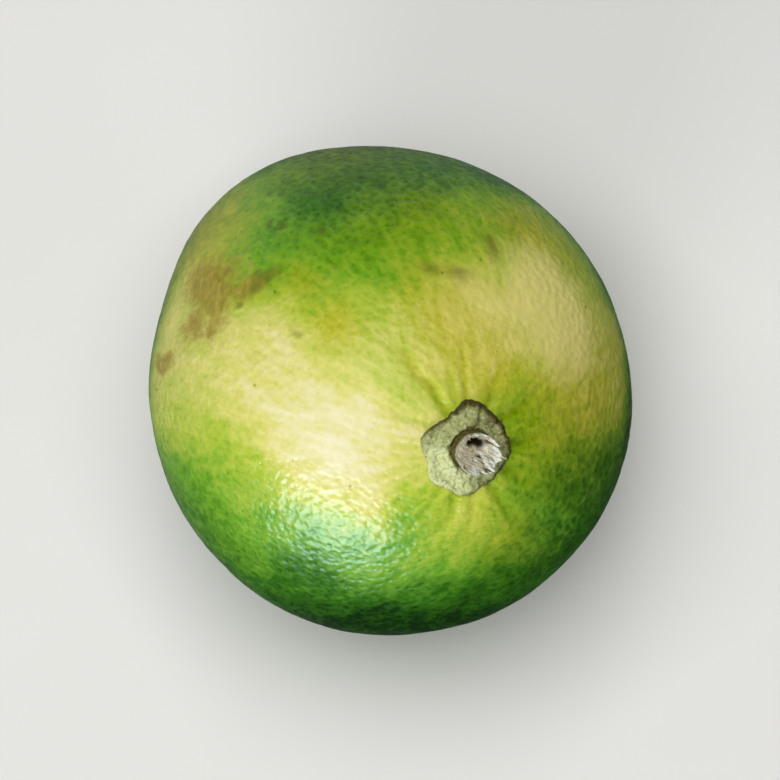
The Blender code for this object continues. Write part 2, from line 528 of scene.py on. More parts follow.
@dataclass(frozen=True)
class PeelFinish:
    """Waxy citrus peel, from deep green to cream, with tan and brown marks.

    Attributes:
        ripening: The colour at each ripeness, on the fresh side.
        gilding: The colour at each ripeness, on the side that the sun has turned olive.
        russet: The colours of corky marks, from their dark edges to their pale middles.
        tan: The colour of the rubbed, dull cheek.
        gland_lag: How much greener the peel is over its oil glands.
        fine_lag: The same over the finer glands between them.
        crease_shade: How much darker and greener the creases are painted, as shade.
        comb: How fast the grain of corky marks changes along each axis.
        brush_width: The width of the finest streaks, for a circle of radius 1.
        brush_drift: How fast they change on their way out from the stem.
    """

    ripening: Stops = stops(
        (0.0, 12, 58, 0),
        (0.2, 56, 123, 2),
        (0.4, 118, 179, 36),
        (0.6, 186, 208, 66),
        (0.8, 229, 225, 124),
        (1.0, 250, 243, 200),
    )
    gilding: Stops = stops(
        (0.0, 44, 66, 4),
        (0.2, 90, 124, 0),
        (0.4, 146, 167, 6),
        (0.6, 198, 196, 50),
        (0.8, 230, 218, 108),
        (1.0, 250, 238, 178),
    )
    russet: Stops = stops(
        (0.0, 112, 92, 12),
        (0.4, 160, 132, 38),
        (0.7, 184, 160, 66),
        (1.0, 212, 198, 116),
    )
    tan: Colour = rgb(247, 235, 138)
    smudge: Colour = rgb(98, 96, 18)
    prick: Colour = rgb(112, 92, 34)
    fleck: Colour = rgb(226, 228, 170)
    gland_lag: float = 0.085
    fine_lag: float = 0.06
    crease_shade: float = 0.13
    gland_size: float = 0.62 * MM
    cloud_size: float = 6 * MM
    mottle_size: float = 1.5 * MM
    edge_size: float = 2.2 * MM
    crumb_size: float = 0.8 * MM
    comb_size: float = 0.7 * MM
    fine_size: float = 0.22 * MM
    prick_spacing: float = 3.3 * MM
    fleck_spacing: float = 2.3 * MM
    comb: tuple[float, float, float] = (1.0, 0.3, 1.0)
    brush_width: float = 0.022
    brush_drift: float = 14.0
    wax_index: float = 2.0

    def brushing(self, board: NodeBoard) -> Shade:
        """The finest streaks of the skin, which run out from the stem.

        Args:
            board: The material's nodes.

        Returns:
            The streaks, from 0 to 1.
        """
        turned = FruitForm().turned().transposed().to_euler()
        own = board.node("ShaderNodeMapping", {}, {"Vector": board.place(), "Rotation": turned})
        ring = board.vectors("NORMALIZE", board.vectors("MULTIPLY", own, (1.0, 1.0, 0.0)))
        along = board.vectors("MULTIPLY", own, (0.0, 0.0, self.brush_drift))
        return board.grain(self.brush_width, 3.0, 0.6, board.vectors("ADD", ring, along))

    def flesh(self, board: NodeBoard, clouds: Shade, streak: Shade) -> Shade:
        """The colour of clean peel, which follows how ripe and how golden it is, with painted shade
        in the creases.

        Args:
            board: The material's nodes.
            clouds: Broad uneven patches, from -0.5 to 0.5.
            streak: The streaks that the mesh carries.

        Returns:
            The colour.
        """
        crease = board.mark(SkinMark.CREASE.value)
        ripe = board.mark(SkinMark.RIPENESS.value)
        mottle = board.grain(self.mottle_size, 3.0, 0.65) - 0.5
        # The creases are painted darker, as shade in the grooves.
        ripeness = ripe + clouds * 0.15 + mottle * 0.1 + streak * 0.09 - crease * self.crease_shade
        ripeness = ripeness + (self.brushing(board) - 0.5) * 0.2
        fine_gland = (0.42 - board.cells(self.gland_size)).step(0.0, 0.3)
        dots = board.mark(SkinMark.GLAND.value) * self.gland_lag + fine_gland * self.fine_lag
        ripeness = ripeness - dots * (1.4 - ripe)
        # The creases also lean to the olive ramp, as painted shade.
        golden = (board.mark(SkinMark.GOLD.value) + clouds * 0.3 + crease * 0.4).step(0.0, 1.0)
        fresh = board.ramp(ripeness, self.ripening)
        return board.mix(golden, fresh, board.ramp(ripeness, self.gilding))

    def material(self) -> bpy.types.Material:
        """The finish as a material.

        Returns:
            The material, which reads the marks that the skin carries.
        """
        board = NodeBoard(bpy.data.materials.new("waxy_peel"))
        clouds = board.grain(self.cloud_size, 3.0, 0.6) - 0.5
        edges = board.grain(self.edge_size, 4.0, 0.65) - 0.5
        crumbs = board.grain(self.crumb_size, 3.0, 0.7)
        streak = board.mark(SkinMark.STREAK.value)
        colour = self.flesh(board, clouds, streak)
        tanned = (board.mark(SkinMark.BLUSH.value) + edges * 0.35 + streak * 0.12).step(-0.1, 0.9)
        colour = board.mix(tanned * 0.85, colour, self.tan)
        smudged = (board.mark(SkinMark.SMUDGE.value) + edges * 0.7 + streak * 0.2).step(-0.05, 0.8)
        colour = board.mix(smudged * 0.6, colour, self.smudge)
        corkiness = board.mark(SkinMark.RUSSET.value) + edges * 0.9 + streak * 0.35
        corkiness = corkiness + (crumbs - 0.5) * 1.2 + clouds * 0.5
        corky = corkiness.step(-0.15, 0.75)
        combed_place = board.vectors("MULTIPLY", board.place(), self.comb)
        combed = board.grain(self.comb_size, 2.0, 0.6, combed_place)
        bark = board.ramp(crumbs * 0.9 + combed * 1.2 - 0.55, self.russet)
        colour = board.mix(corky * 0.8, colour, bark)
        pricks = (0.075 - board.cells(self.prick_spacing)).step(0.0, 0.04)
        colour = board.mix(pricks * 0.55, colour, self.prick)
        flecks = (0.06 - board.cells(self.fleck_spacing)).step(0.0, 0.04)
        colour = board.mix(flecks * 0.3, colour, self.fleck)
        fine = board.grain(self.fine_size, 2.0, 0.6)
        pebble = board.cells(self.gland_size, 0.5)
        board.dress(
            base_color=colour,
            roughness=0.26 + corky * 0.25 + tanned * 0.14 + fine * 0.08,
            normal=board.relief(pebble * 0.07 + fine * 0.014 + corky * (crumbs * 0.05)),
            ior=self.wax_index,
            subsurface_weight=0.12,
            subsurface_radius=(1.2, 1.0, 0.3),
            subsurface_scale=0.7 * MM,
        )
        return board.owner


@dataclass(frozen=True)
class CalyxFinish:
    """Dry grey-green calyx, pale on one side and brown and darker on the other, with a dark edge;
    the darker side and the dark edge are partly painted shade.
    """

    pale: Colour = rgb(206, 214, 156)
    flesh: Colour = rgb(170, 176, 116)
    brown: Colour = rgb(102, 92, 52)
    # The colour of the painted shadow along the raised edge and the painted shade in the gap round
    # the stem.
    edge: Colour = rgb(58, 50, 8)
    speck: Colour = rgb(226, 230, 192)
    patch_size: float = 1.4 * MM
    speck_size: float = 0.32 * MM

    def material(self) -> bpy.types.Material:
        """The finish as a material.

        Returns:
            The material, which reads how dry and shaded each point is and how near the edge, for the
            painted shade of the far side and the painted shadow of the edge.
        """
        board = NodeBoard(bpy.data.materials.new("dry_calyx"))
        weather = board.mark("weather")
        patches = board.grain(self.patch_size, 3.0, 0.65) - 0.5
        specks = board.grain(self.speck_size, 2.0, 0.6)
        # Pale towards the lamps, darker and browner away from them: partly dry tissue, partly
        # painted shade.
        colour = board.mix((weather + patches * 0.9).step(0.05, 0.6), self.pale, self.flesh)
        colour = board.mix((weather + patches * 1.6).step(0.8, 1.3) * 0.8, colour, self.brown)
        colour = board.mix(specks.step(0.56, 0.7) * 0.6, colour, self.speck)
        colour = board.mix((0.44 - specks).step(0.0, 0.12) * 0.6, colour, self.brown)
        # Painted shadow along the raised edge, stronger on the side away from the lamps, and painted
        # shade in the gap round the stem.
        rim = (board.mark("rim") + specks * 0.25 + patches * 0.2).step(0.82, 1.1)
        board.dress(
            base_color=board.mix(rim * 0.9, colour, self.edge),
            roughness=0.6 + specks * 0.2,
            normal=board.relief(patches * 0.1 + specks * 0.07),
            subsurface_weight=0.05,
            subsurface_scale=0.4 * MM,
        )
        return board.owner


@dataclass(frozen=True)
class StubFinish:
    """Torn stem: olive bark, beige pith, pale grey fibres, and painted shade in the hollow and
    between the splinters.
    """

    bark: Colour = rgb(92, 84, 38)
    pale_bark: Colour = rgb(146, 138, 84)
    pith: Colour = rgb(188, 180, 152)
    fibre: Colour = rgb(226, 230, 216)
    # The colour of the painted shade in the hollow and between the splinters.
    hollow: Colour = rgb(36, 32, 14)
    strand_size: float = 0.26 * MM

    def material(self) -> bpy.types.Material:
        """The finish as a material.

        Returns:
            The material, which reads where the torn top and the fibres are, and where shade is
            painted in the hollow and between the splinters.
        """
        board = NodeBoard(bpy.data.materials.new("torn_stem"))
        strands = board.grain(self.strand_size, 3.0, 0.7)
        ragged = strands - 0.5
        colour = board.mix(strands.step(0.4, 0.65) * 0.5, self.bark, self.pale_bark)
        colour = board.mix((board.mark("torn") + ragged * 0.6).step(0.3, 0.7), colour, self.pith)
        colour = board.mix((board.mark("fibre") + ragged * 0.7).step(0.35, 0.8), colour, self.fibre)
        # Painted shade in the hollow and in the grooves between the splinters.
        colour = board.mix((board.mark("hollow") + ragged * 0.3).step(0.2, 0.8), colour, self.hollow)
        board.dress(
            base_color=colour,
            roughness=0.7 + strands * 0.15,
            normal=board.relief(strands * 0.12),
        )
        return board.owner


@dataclass(frozen=True)
class TableFinish:
    """A plain pale floor, with faint clouds and a fine grain."""

    pale: Colour = rgb(236, 235, 232)
    faint: Colour = rgb(229, 228, 224)
    cloud_size: float = 60 * MM
    grain_size: float = 1.2 * MM

    def material(self) -> bpy.types.Material:
        """The finish as a material.

        Returns:
            The material.
        """
        board = NodeBoard(bpy.data.materials.new("pale_table"))
        fine = board.grain(self.grain_size, 2.0, 0.5)
        board.dress(
            base_color=board.mix(board.grain(self.cloud_size, 3.0, 0.5), self.pale, self.faint),
            roughness=0.85 + fine * 0.1,
            normal=board.relief(fine * 0.01),
            specular_ior_level=0.0,
        )
        return board.owner


@dataclass
class Peel:
    """The fruit's skin, with its glands, creases and patches of colour.

    Attributes:
        base_ripeness: The ripeness far from all tints, which counts by base_weight.
        golds: Where the sun has turned the peel olive.
        blushes: Where it is rubbed, dull and tan.
        smudges: Its dark smudges.
        russets: Its corky brown marks.
    """

    form: FruitForm
    lie: Lie
    cells: int = 128
    gland_spacing: float = 1.12 * MM
    gland_depth: float = 0.125 * MM
    gland_width: float = 0.28 * MM
    gland_scatter: float = 0.22
    calyx_calm: float = 9 * DEG
    wrinkle_height: float = 0.3 * MM
    broad_lump_height: float = 0.12 * MM
    small_lump_height: float = 0.055 * MM
    style_scar_depth: float = 0.35 * MM
    style_scar_spread: float = 1.8 * DEG
    crease_unit: float = 0.4 * MM
    crease_wander: float = 5 * DEG
    seed: int = 7
    base_ripeness: float = 0.18
    base_weight: float = 0.06
    tints: tuple[Tint, ...] = table(
        Tint,
        # The cream cheek and the pale side below the brown mark
        (40, 211, 0.97, 14), (30, 230, 0.97, 11), (26, 243, 1.0, 9), (50, 200, 0.84, 12),
        (70, 214, 0.84, 15), (84, 222, 0.72, 14), (15, 222, 0.9, 8), (16.5, 243, 0.54, 5),
        # The yellow and tan side, towards the picture's top right
        (42, 183, 0.62, 9), (20, 150, 0.74, 11), (31, 166, 0.68, 10), (34, 122, 0.74, 12),
        (38, 92, 0.72, 16), (58, 98, 0.59, 12),
        # The green side, at the picture's top
        (56, 122, 0.51, 11), (55, 150, 0.51, 12), (55, 177, 0.46, 9), (70, 150, 0.19, 16),
        (92, 142, 0.27, 20), (97, 181, 0.59, 15), (76, 178, 0.42, 10), (84, 190, 0.7, 10),
        # The olive side, at the picture's right
        (15, 62, 0.44, 9), (35, 55, 0.65, 12), (50, 73, 0.72, 10), (35, 26, 0.23, 12),
        (32, 1, 0.35, 10), (21, 356, 0.42, 7),
        # The yellow-green below the calyx, and the deep greens past it, which are partly the peel's
        # own green and partly painted shade towards the lower edge
        (22, 327, 0.69, 8), (31, 334, 0.34, 7), (14, 307, 0.76, 8), (29, 304, 0.5, 8),
        (38, 285, 0.44, 9), (20, 281, 0.42, 6), (42, 309, 0.25, 8), (43, 336, 0.18, 9),
        (46, 355, 0.17, 9), (55, 277, 0.21, 9), (62, 310, 0.03, 16), (36, 262, 0.44, 9),
        # The lime green side beside the cream
        (60, 250, 0.42, 12), (51, 240, 0.64, 9), (70, 231, 0.5, 10), (80, 245, 0.3, 14),
        # The underside and the nipple
        (128, 55, 0.44, 22), (120, 205, 0.34, 18), (112, 320, 0.24, 16), (176, 0, 0.5, 12),
    )
    golds: tuple[Patch, ...] = table(
        Patch,
        (32, 58, 20, 15, 10, 1.05), (26, 130, 15, 10, 40, 1.1), (28, 345, 11, 8, 20, 0.65),
        (42, 182, 6, 5, 0, 0.9), (57, 180, 6, 5, 0, 0.6), (60, 108, 13, 10, 80, 0.9),
        (92, 148, 16, 16, 0, 0.8), (60, 140, 20, 16, 90, 0.62), (96, 186, 15, 13, 0, 0.8),
        (120, 200, 20, 12, 0, 0.8),
    )
    blushes: tuple[Patch, ...] = table(
        Patch,
        (41, 95, 10, 7.4, 65, 1.5), (34, 116, 9, 5.6, 80, 0.7), (90, 206, 9, 4.5, 90, 0.6),
    )
    smudges: tuple[Patch, ...] = table(
        Patch,
        (50, 122, 2.3, 1.5, 30, 0.8), (40, 133, 3.0, 1.5, 70, 0.7), (42, 143, 1.8, 1.1, 50, 0.7),
        (77, 187, 1.0, 0.8, 0, 0.9), (63.5, 184, 2.0, 1.4, 80, 1.2), (67, 184, 1.2, 0.8, 0, 0.9),
        (65.5, 192, 1.1, 0.9, 0, 1.1), (71, 202, 1.0, 0.7, 0, 0.9), (76, 173, 1.1, 0.8, 0, 1.0),
        (49, 191, 1.1, 0.8, 0, 0.45), (64, 166, 1.0, 0.8, 0, 0.9), (72, 170, 1.2, 0.7, 0, 0.9),
        (110, 20, 6, 4, 40, 1.0),
    )
    russets: tuple[Patch, ...] = table(
        Patch,
        (78, 193, 6, 4.6, 15, 1.3), (67, 188, 3.4, 2.0, 20, 0.8), (78, 203, 4, 2.6, 60, 0.7),
        (71, 200, 3.4, 2.2, 30, 0.8), (88, 214, 3.4, 1.6, 10, 1.3), (118, 75, 8, 4.4, 30, 0.6),
        (138, 118, 4.4, 2.4, 80, 0.5), (106, 328, 5, 2.4, 20, 0.35), (179, 0, 1.3, 1.2, 0, 1.6),
    )
    creases: tuple[Crease, ...] = table(
        Crease,
        (168, 0.46, 42, 0.4), (137, 0.38, 28, 0.36), (152, 0.2, 24, 0.36), (196, 0.3, 30, 0.45),
        (222, 0.25, 24, 0.5), (252, 0.2, 24, 0.6), (283, 0.3, 22, 0.45), (302, 0.5, 26, 0.45),
        (322, 0.3, 24, 0.5), (347, 0.35, 28, 0.5), (15, 0.3, 24, 0.5), (48, 0.35, 24, 0.5),
        (80, 0.35, 26, 0.5), (110, 0.4, 24, 0.45),
    )

    def glands(self) -> kdtree.KDTree:
        """Scatters the oil glands evenly, with a seeded unevenness.

        Returns:
            The glands' places on the unit sphere.
        """
        chance = random.Random(self.seed)
        spacing = self.gland_spacing / self.form.equator_radius
        count = int(4 * math.pi / (spacing**2 * 0.87))
        golden_angle = math.pi * (3 - math.sqrt(5))
        tree = kdtree.KDTree(count)
        for index in range(count):
            height = 1 - (2 * index + 1) / count
            ring = math.sqrt(1 - height * height)
            turn = index * golden_angle
            spot = Vector((ring * math.cos(turn), ring * math.sin(turn), height))
            shake = Vector([chance.gauss(0, self.gland_scatter * spacing) for _ in range(3)])
            tree.insert((spot + shake).normalized(), index)
        tree.balance()
        return tree

    def ripeness(self, point: Vector) -> float:
        """How ripe the skin is at a point, as the mean of the tints, weighted by their nearness.

        Args:
            point: The point's direction from the fruit's middle.

        Returns:
            From 0, deep green, to 1, cream.
        """
        total = self.base_weight
        value = total * self.base_ripeness
        for tint in self.tints:
            weight = bell((point - tint.middle).length, tint.spread * DEG)
            total += weight
            value += weight * tint.ripeness
        return value / total

    def creasing(self, polar: float, azimuth: float) -> float:
        """How deep the creases round the calyx are at a place.

        Args:
            polar: The angle from the stem.
            azimuth: The angle round the stem.

        Returns:
            The depth.
        """
        depth = 0.0
        wander = self.crease_wander * noise.noise(Vector((polar * 9, azimuth * 2, 4.0)))
        for crease in self.creases:
            turn = math.remainder(azimuth + wander - crease.azimuth * DEG, math.tau)
            aside = abs(turn) * math.sin(polar) * self.form.equator_radius
            widening = crease.width * MM * (0.75 + polar / (50 * DEG))
            fading = 1 - step(polar, 8 * DEG, crease.reach * DEG)
            depth += crease.depth * MM * bell(aside, widening) * fading
        return depth

    def streak(self, polar: float, azimuth: float) -> float:
        """The brushed look of the skin, in streaks that run out from the stem.

        Args:
            polar: The angle from the stem.
            azimuth: The angle round the stem.

        Returns:
            From about -1 to 1.
        """
        ring = towards(azimuth)
        along = Vector((0.0, 0.0, polar * 7.0))
        broad = noise.noise(ring * 13.0 + along)
        narrow = noise.noise(ring * 31.0 + along * 1.7 + Vector((3.0, 8.0, 0.0)))
        return (broad + 0.8 * narrow) * (0.5 + 0.7 * bell(polar, 50 * DEG))

    def lumps(self, direction: Vector, polar: float, azimuth: float) -> float:
        """The soft unevenness of the skin, with the wrinkles and the scar of the nipple.

        Args:
            direction: The direction from the fruit's middle.
            polar: The angle from the stem.
            azimuth: The angle round the stem.

        Returns:
            The height.
        """
        place = direction * (self.form.equator_radius / MM)
        from_blossom = math.pi - polar
        wrinkles = noise.noise(towards(azimuth) * 3.2 + UP * (from_blossom * 4))
        wrinkles *= bell(from_blossom - 10 * DEG, 7 * DEG) * self.wrinkle_height
        scar = bell(from_blossom, self.style_scar_spread) * self.style_scar_depth
        broad = noise.noise(place / 9.0) * self.broad_lump_height
        small = noise.noise(place / 3.2 + Vector((7, 3, 1))) * self.small_lump_height
        return broad + small + wrinkles - scar

    def mesh(self) -> bpy.types.Mesh:
        """Draws the skin from a finely divided cube that is blown up to a ball.

        Returns:
            The mesh, in the world, with the marks that its finish reads.
        """
        bm = bmesh.new()
        bmesh.ops.create_cube(bm, size=2.0)
        bmesh.ops.subdivide_edges(bm, edges=bm.edges[:], cuts=self.cells - 1, use_grid_fill=True)
        layers = {mark: bm.verts.layers.float.new(mark.value) for mark in SkinMark}
        blotches = {
            SkinMark.GOLD: self.golds,
            SkinMark.BLUSH: self.blushes,
            SkinMark.RUSSET: self.russets,
            SkinMark.SMUDGE: self.smudges,
        }
        noise.seed_set(self.seed)
        glands = self.glands()
        radius = self.form.equator_radius
        for vertex in bm.verts:
            direction = Vector([math.tan(c * math.pi / 4) for c in vertex.co]).normalized()
            polar = direction.angle(UP)
            azimuth = math.atan2(direction.y, direction.x)
            place = direction * (radius / MM)
            warp = noise.noise_vector(place / 5.0) * 1.3 + noise.noise_vector(place / 1.7) * 0.45
            bent = (place + warp).normalized()
            _, index, distance = glands.find(direction)
            vigour = 0.7 + 0.6 * ((index * GOLDEN_SHARE) % 1.0)
            gland = bell(distance * radius, self.gland_width * (0.75 + 0.4 * vigour))
            calm = 1 - 0.6 * bell(polar, self.calyx_calm)
            crease = self.creasing(polar, azimuth)
            vertex[layers[SkinMark.GLAND]] = gland
            vertex[layers[SkinMark.RIPENESS]] = self.ripeness(bent)
            vertex[layers[SkinMark.STREAK]] = self.streak(polar, azimuth)
            vertex[layers[SkinMark.CREASE]] = crease / self.crease_unit
            for mark, patches in blotches.items():
                vertex[layers[mark]] = max(patch.value(bent, radius) for patch in patches)
            height = self.lumps(direction, polar, azimuth) - crease
            height -= self.gland_depth * vigour * gland * calm
            vertex.co = self.lie.world(self.form.skin(direction) + direction * height)
            vertex.co.z = max(vertex.co.z, 0.0)
        return finished_mesh(bm, "fine_peel")

    def build(self) -> bpy.types.Object:
        """The finished skin, in place of the solid fruit."""
        return add_piece("fine_peel", self.mesh(), PeelFinish().material(), "lime_fruit")


def spin_round(bm: bmesh.types.BMesh, section: list, steps: int) -> None:
    """Spins a section once round the Z axis and closes its seam and poles.

    Args:
        bm: The mesh.
        section: The section's points and edges.
        steps: How many steps the turn has.
    """
    bmesh.ops.spin(
        bm, geom=section, cent=(0, 0, 0), axis=(0, 0, 1), angle=math.tau, steps=steps, use_merge=True
    )
    bmesh.ops.remove_doubles(bm, verts=bm.verts[:], dist=1e-6)


def finished_mesh(bm: bmesh.types.BMesh, name: str) -> bpy.types.Mesh:
    """Turns the working mesh into a smooth one whose faces point outwards.

    Args:
        bm: The working mesh, which is freed.
        name: The mesh's name.

    Returns:
        The mesh.
    """
    bmesh.ops.recalc_face_normals(bm, faces=bm.faces[:])
    mesh = bpy.data.meshes.new(name)
    bm.to_mesh(mesh)
    bm.free()
    mesh.shade_smooth()
    return mesh


def add_piece(
    name: str, mesh: bpy.types.Mesh, material: bpy.types.Material, node: str
) -> bpy.types.Object:
    """Adds a piece that rides on the root and stands for a solid.

    Args:
        name: The piece's name.
        mesh: Its mesh, in the world.
        material: Its finish.
        node: The solid that it stands for.

    Returns:
        The piece.
    """
    mesh.materials.append(material)
    piece = bpy.data.objects.new(name, mesh)
    bpy.context.scene.collection.objects.link(piece)
    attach(piece, Body.ROOT.value)
    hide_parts(node)
    return piece


@dataclass
class Calyx:
    """The dry calyx: a thick ring round the stem with five blunt lobes.

    Attributes:
        lobe_reach: How much further than the ring a full lobe reaches.
        lobe_shares: How full each lobe is.
        pale_heading: Which side is pale and fresh; the far side is darker, partly dry tissue and
            partly painted shade.
        moat_share: The width of the gap round the stem, which is painted dark as shade, as a share
            of the ring's.
    """

    form: FruitForm
    lie: Lie
    hole: float = 2.1 * MM
    reach: float = 4.45 * MM
    lobe_reach: float = 0.85 * MM
    lobe_spread: float = 22 * DEG
    lobe_headings: tuple[float, ...] = (-49, 41, 134, 211, 262)
    lobe_shares: tuple[float, ...] = (1.0, 0.3, 1.1, 1.35, 1.1)
    raggedness: float = 0.2 * MM
    fraying: float = 0.12 * MM
    pale_heading: float = 262 * DEG
    pale_spread: float = 75 * DEG
    hub_thickness: float = 1.15 * MM
    leaf_thickness: float = 0.6 * MM
    tip_thickness: float = 0.35 * MM
    rib_height: float = 0.26
    lump_height: float = 0.38
    lump_size: float = 1.1 * MM
    wart_height: float = 0.24
    wart_size: float = 0.45 * MM
    tip_lift: float = 0.2 * MM
    sinking: float = 0.12 * MM
    moat_depth: float = 0.8 * MM
    moat_share: float = 0.1
    segments: int = 220
    rings: int = 40

    def outline(self, azimuth: float) -> float:
        """How far the calyx reaches at an azimuth.

        Args:
            azimuth: The angle round the stem.

        Returns:
            The distance from the stem's axis.
        """
        lobes = sum(
            share * bell(math.remainder(azimuth - heading * DEG, math.tau), self.lobe_spread)
            for heading, share in zip(self.lobe_headings, self.lobe_shares)
        )
        ring = towards(azimuth)
        ragged = noise.noise(ring * 4.0) * self.raggedness
        frayed = noise.noise(ring * 13.0 + UP * 2.0) * self.fraying
        return self.reach + self.lobe_reach * lobes + ragged + frayed

    def weather(self, azimuth: float) -> float:
        """How dry and how shaded the calyx is at an azimuth, from 0 to 1: dry brown tissue plus
        painted shade on the side away from the lamps.
        """
        return 1 - bell(math.remainder(azimuth - self.pale_heading, math.tau), self.pale_spread)

    def moat(self, outward: float) -> float:
        """How far down in the gap round the stem a point is, from 0 to 1; the gap is painted dark as
        shade.
        """
        return bell(outward, self.moat_share)

    def surface(self, outward: float, upward: float, azimuth: float) -> Vector:
        """A point of the calyx.

        Args:
            outward: From 0 at the hole to 1 at the outline.
            upward: From 0 at the underside to 1 at the top.
            azimuth: The angle round the stem.

        Returns:
            The point in the fruit's own frame.
        """
        reach = self.hole + (self.outline(azimuth) - self.hole) * outward
        hub = 1 - step(outward, 0.15, 0.6)
        tip = step(outward, 0.6, 1.0)
        thickness = self.leaf_thickness + (self.hub_thickness - self.leaf_thickness) * hub
        thickness += (self.tip_thickness - self.leaf_thickness) * tip
        thickness -= self.moat_depth * self.moat(outward)
        ring = towards(azimuth)
        ribs = noise.noise(ring * 6.0 + UP * (outward * 1.2))
        lumps = noise.noise(ring * reach / self.lump_size + Vector((2.0, 6.0, 1.0)))
        warts = noise.noise(ring * reach / self.wart_size + Vector((5.0, 2.0, 9.0)))
        relief = ribs * self.rib_height + lumps * self.lump_height + warts * self.wart_height
        thickness += upward * relief * MM
        lift = self.tip_lift * tip * (1 + 1.5 * ribs)
        height = self.form.skin_height(reach, azimuth) + lift - self.sinking + upward * thickness
        return ring * reach + UP * height

    def mesh(self) -> bpy.types.Mesh:
        """Spins the ring's section round the stem and shapes it.

        Returns:
            The mesh, in the world, with how dry and shaded and how near the edge each point is, for
            the painted shade of the far side and of the edge.
        """
        bm = bmesh.new()
        rim = bm.verts.layers.float.new("rim")
        weather = bm.verts.layers.float.new("weather")
        shares = [index / self.rings for index in range(self.rings + 1)]
        section = [bm.verts.new((1 + share, 0, 1)) for share in shares]
        section += [bm.verts.new((1 + share, 0, 0)) for share in reversed(shares)]
        edges = [bm.edges.new(pair) for pair in zip(section, section[1:] + section[:1])]
        spin_round(bm, section + edges, self.segments)
        for vertex in bm.verts:
            azimuth = math.atan2(vertex.co.y, vertex.co.x)
            outward = vertex.co.xy.length - 1
            upward = vertex.co.z
            rounding = 1 - step(outward, 0.9, 1.0) * 0.4
            tuck = 0.03 * (1 - upward) * step(outward, 0.5, 1.0)
            point = self.surface(outward * (1 - tuck), upward * rounding, azimuth)
            # Dry brown tissue and painted shade on the side away from the lamps.
            vertex[weather] = self.weather(azimuth)
            # Painted shadow at the edge, stronger on the side away from the lamps, and painted shade
            # in the gap round the stem.
            edge_shadow = outward * (0.72 + 0.36 * self.weather(azimuth))
            vertex[rim] = max(edge_shadow, 1.1 * self.moat(outward) ** 2)
            vertex.co = self.lie.world(point)
        return finished_mesh(bm, "fine_calyx")

    def build(self) -> bpy.types.Object:
        """The finished calyx, in place of the solid one."""
        return add_piece("fine_calyx", self.mesh(), CalyxFinish().material(), "calyx")


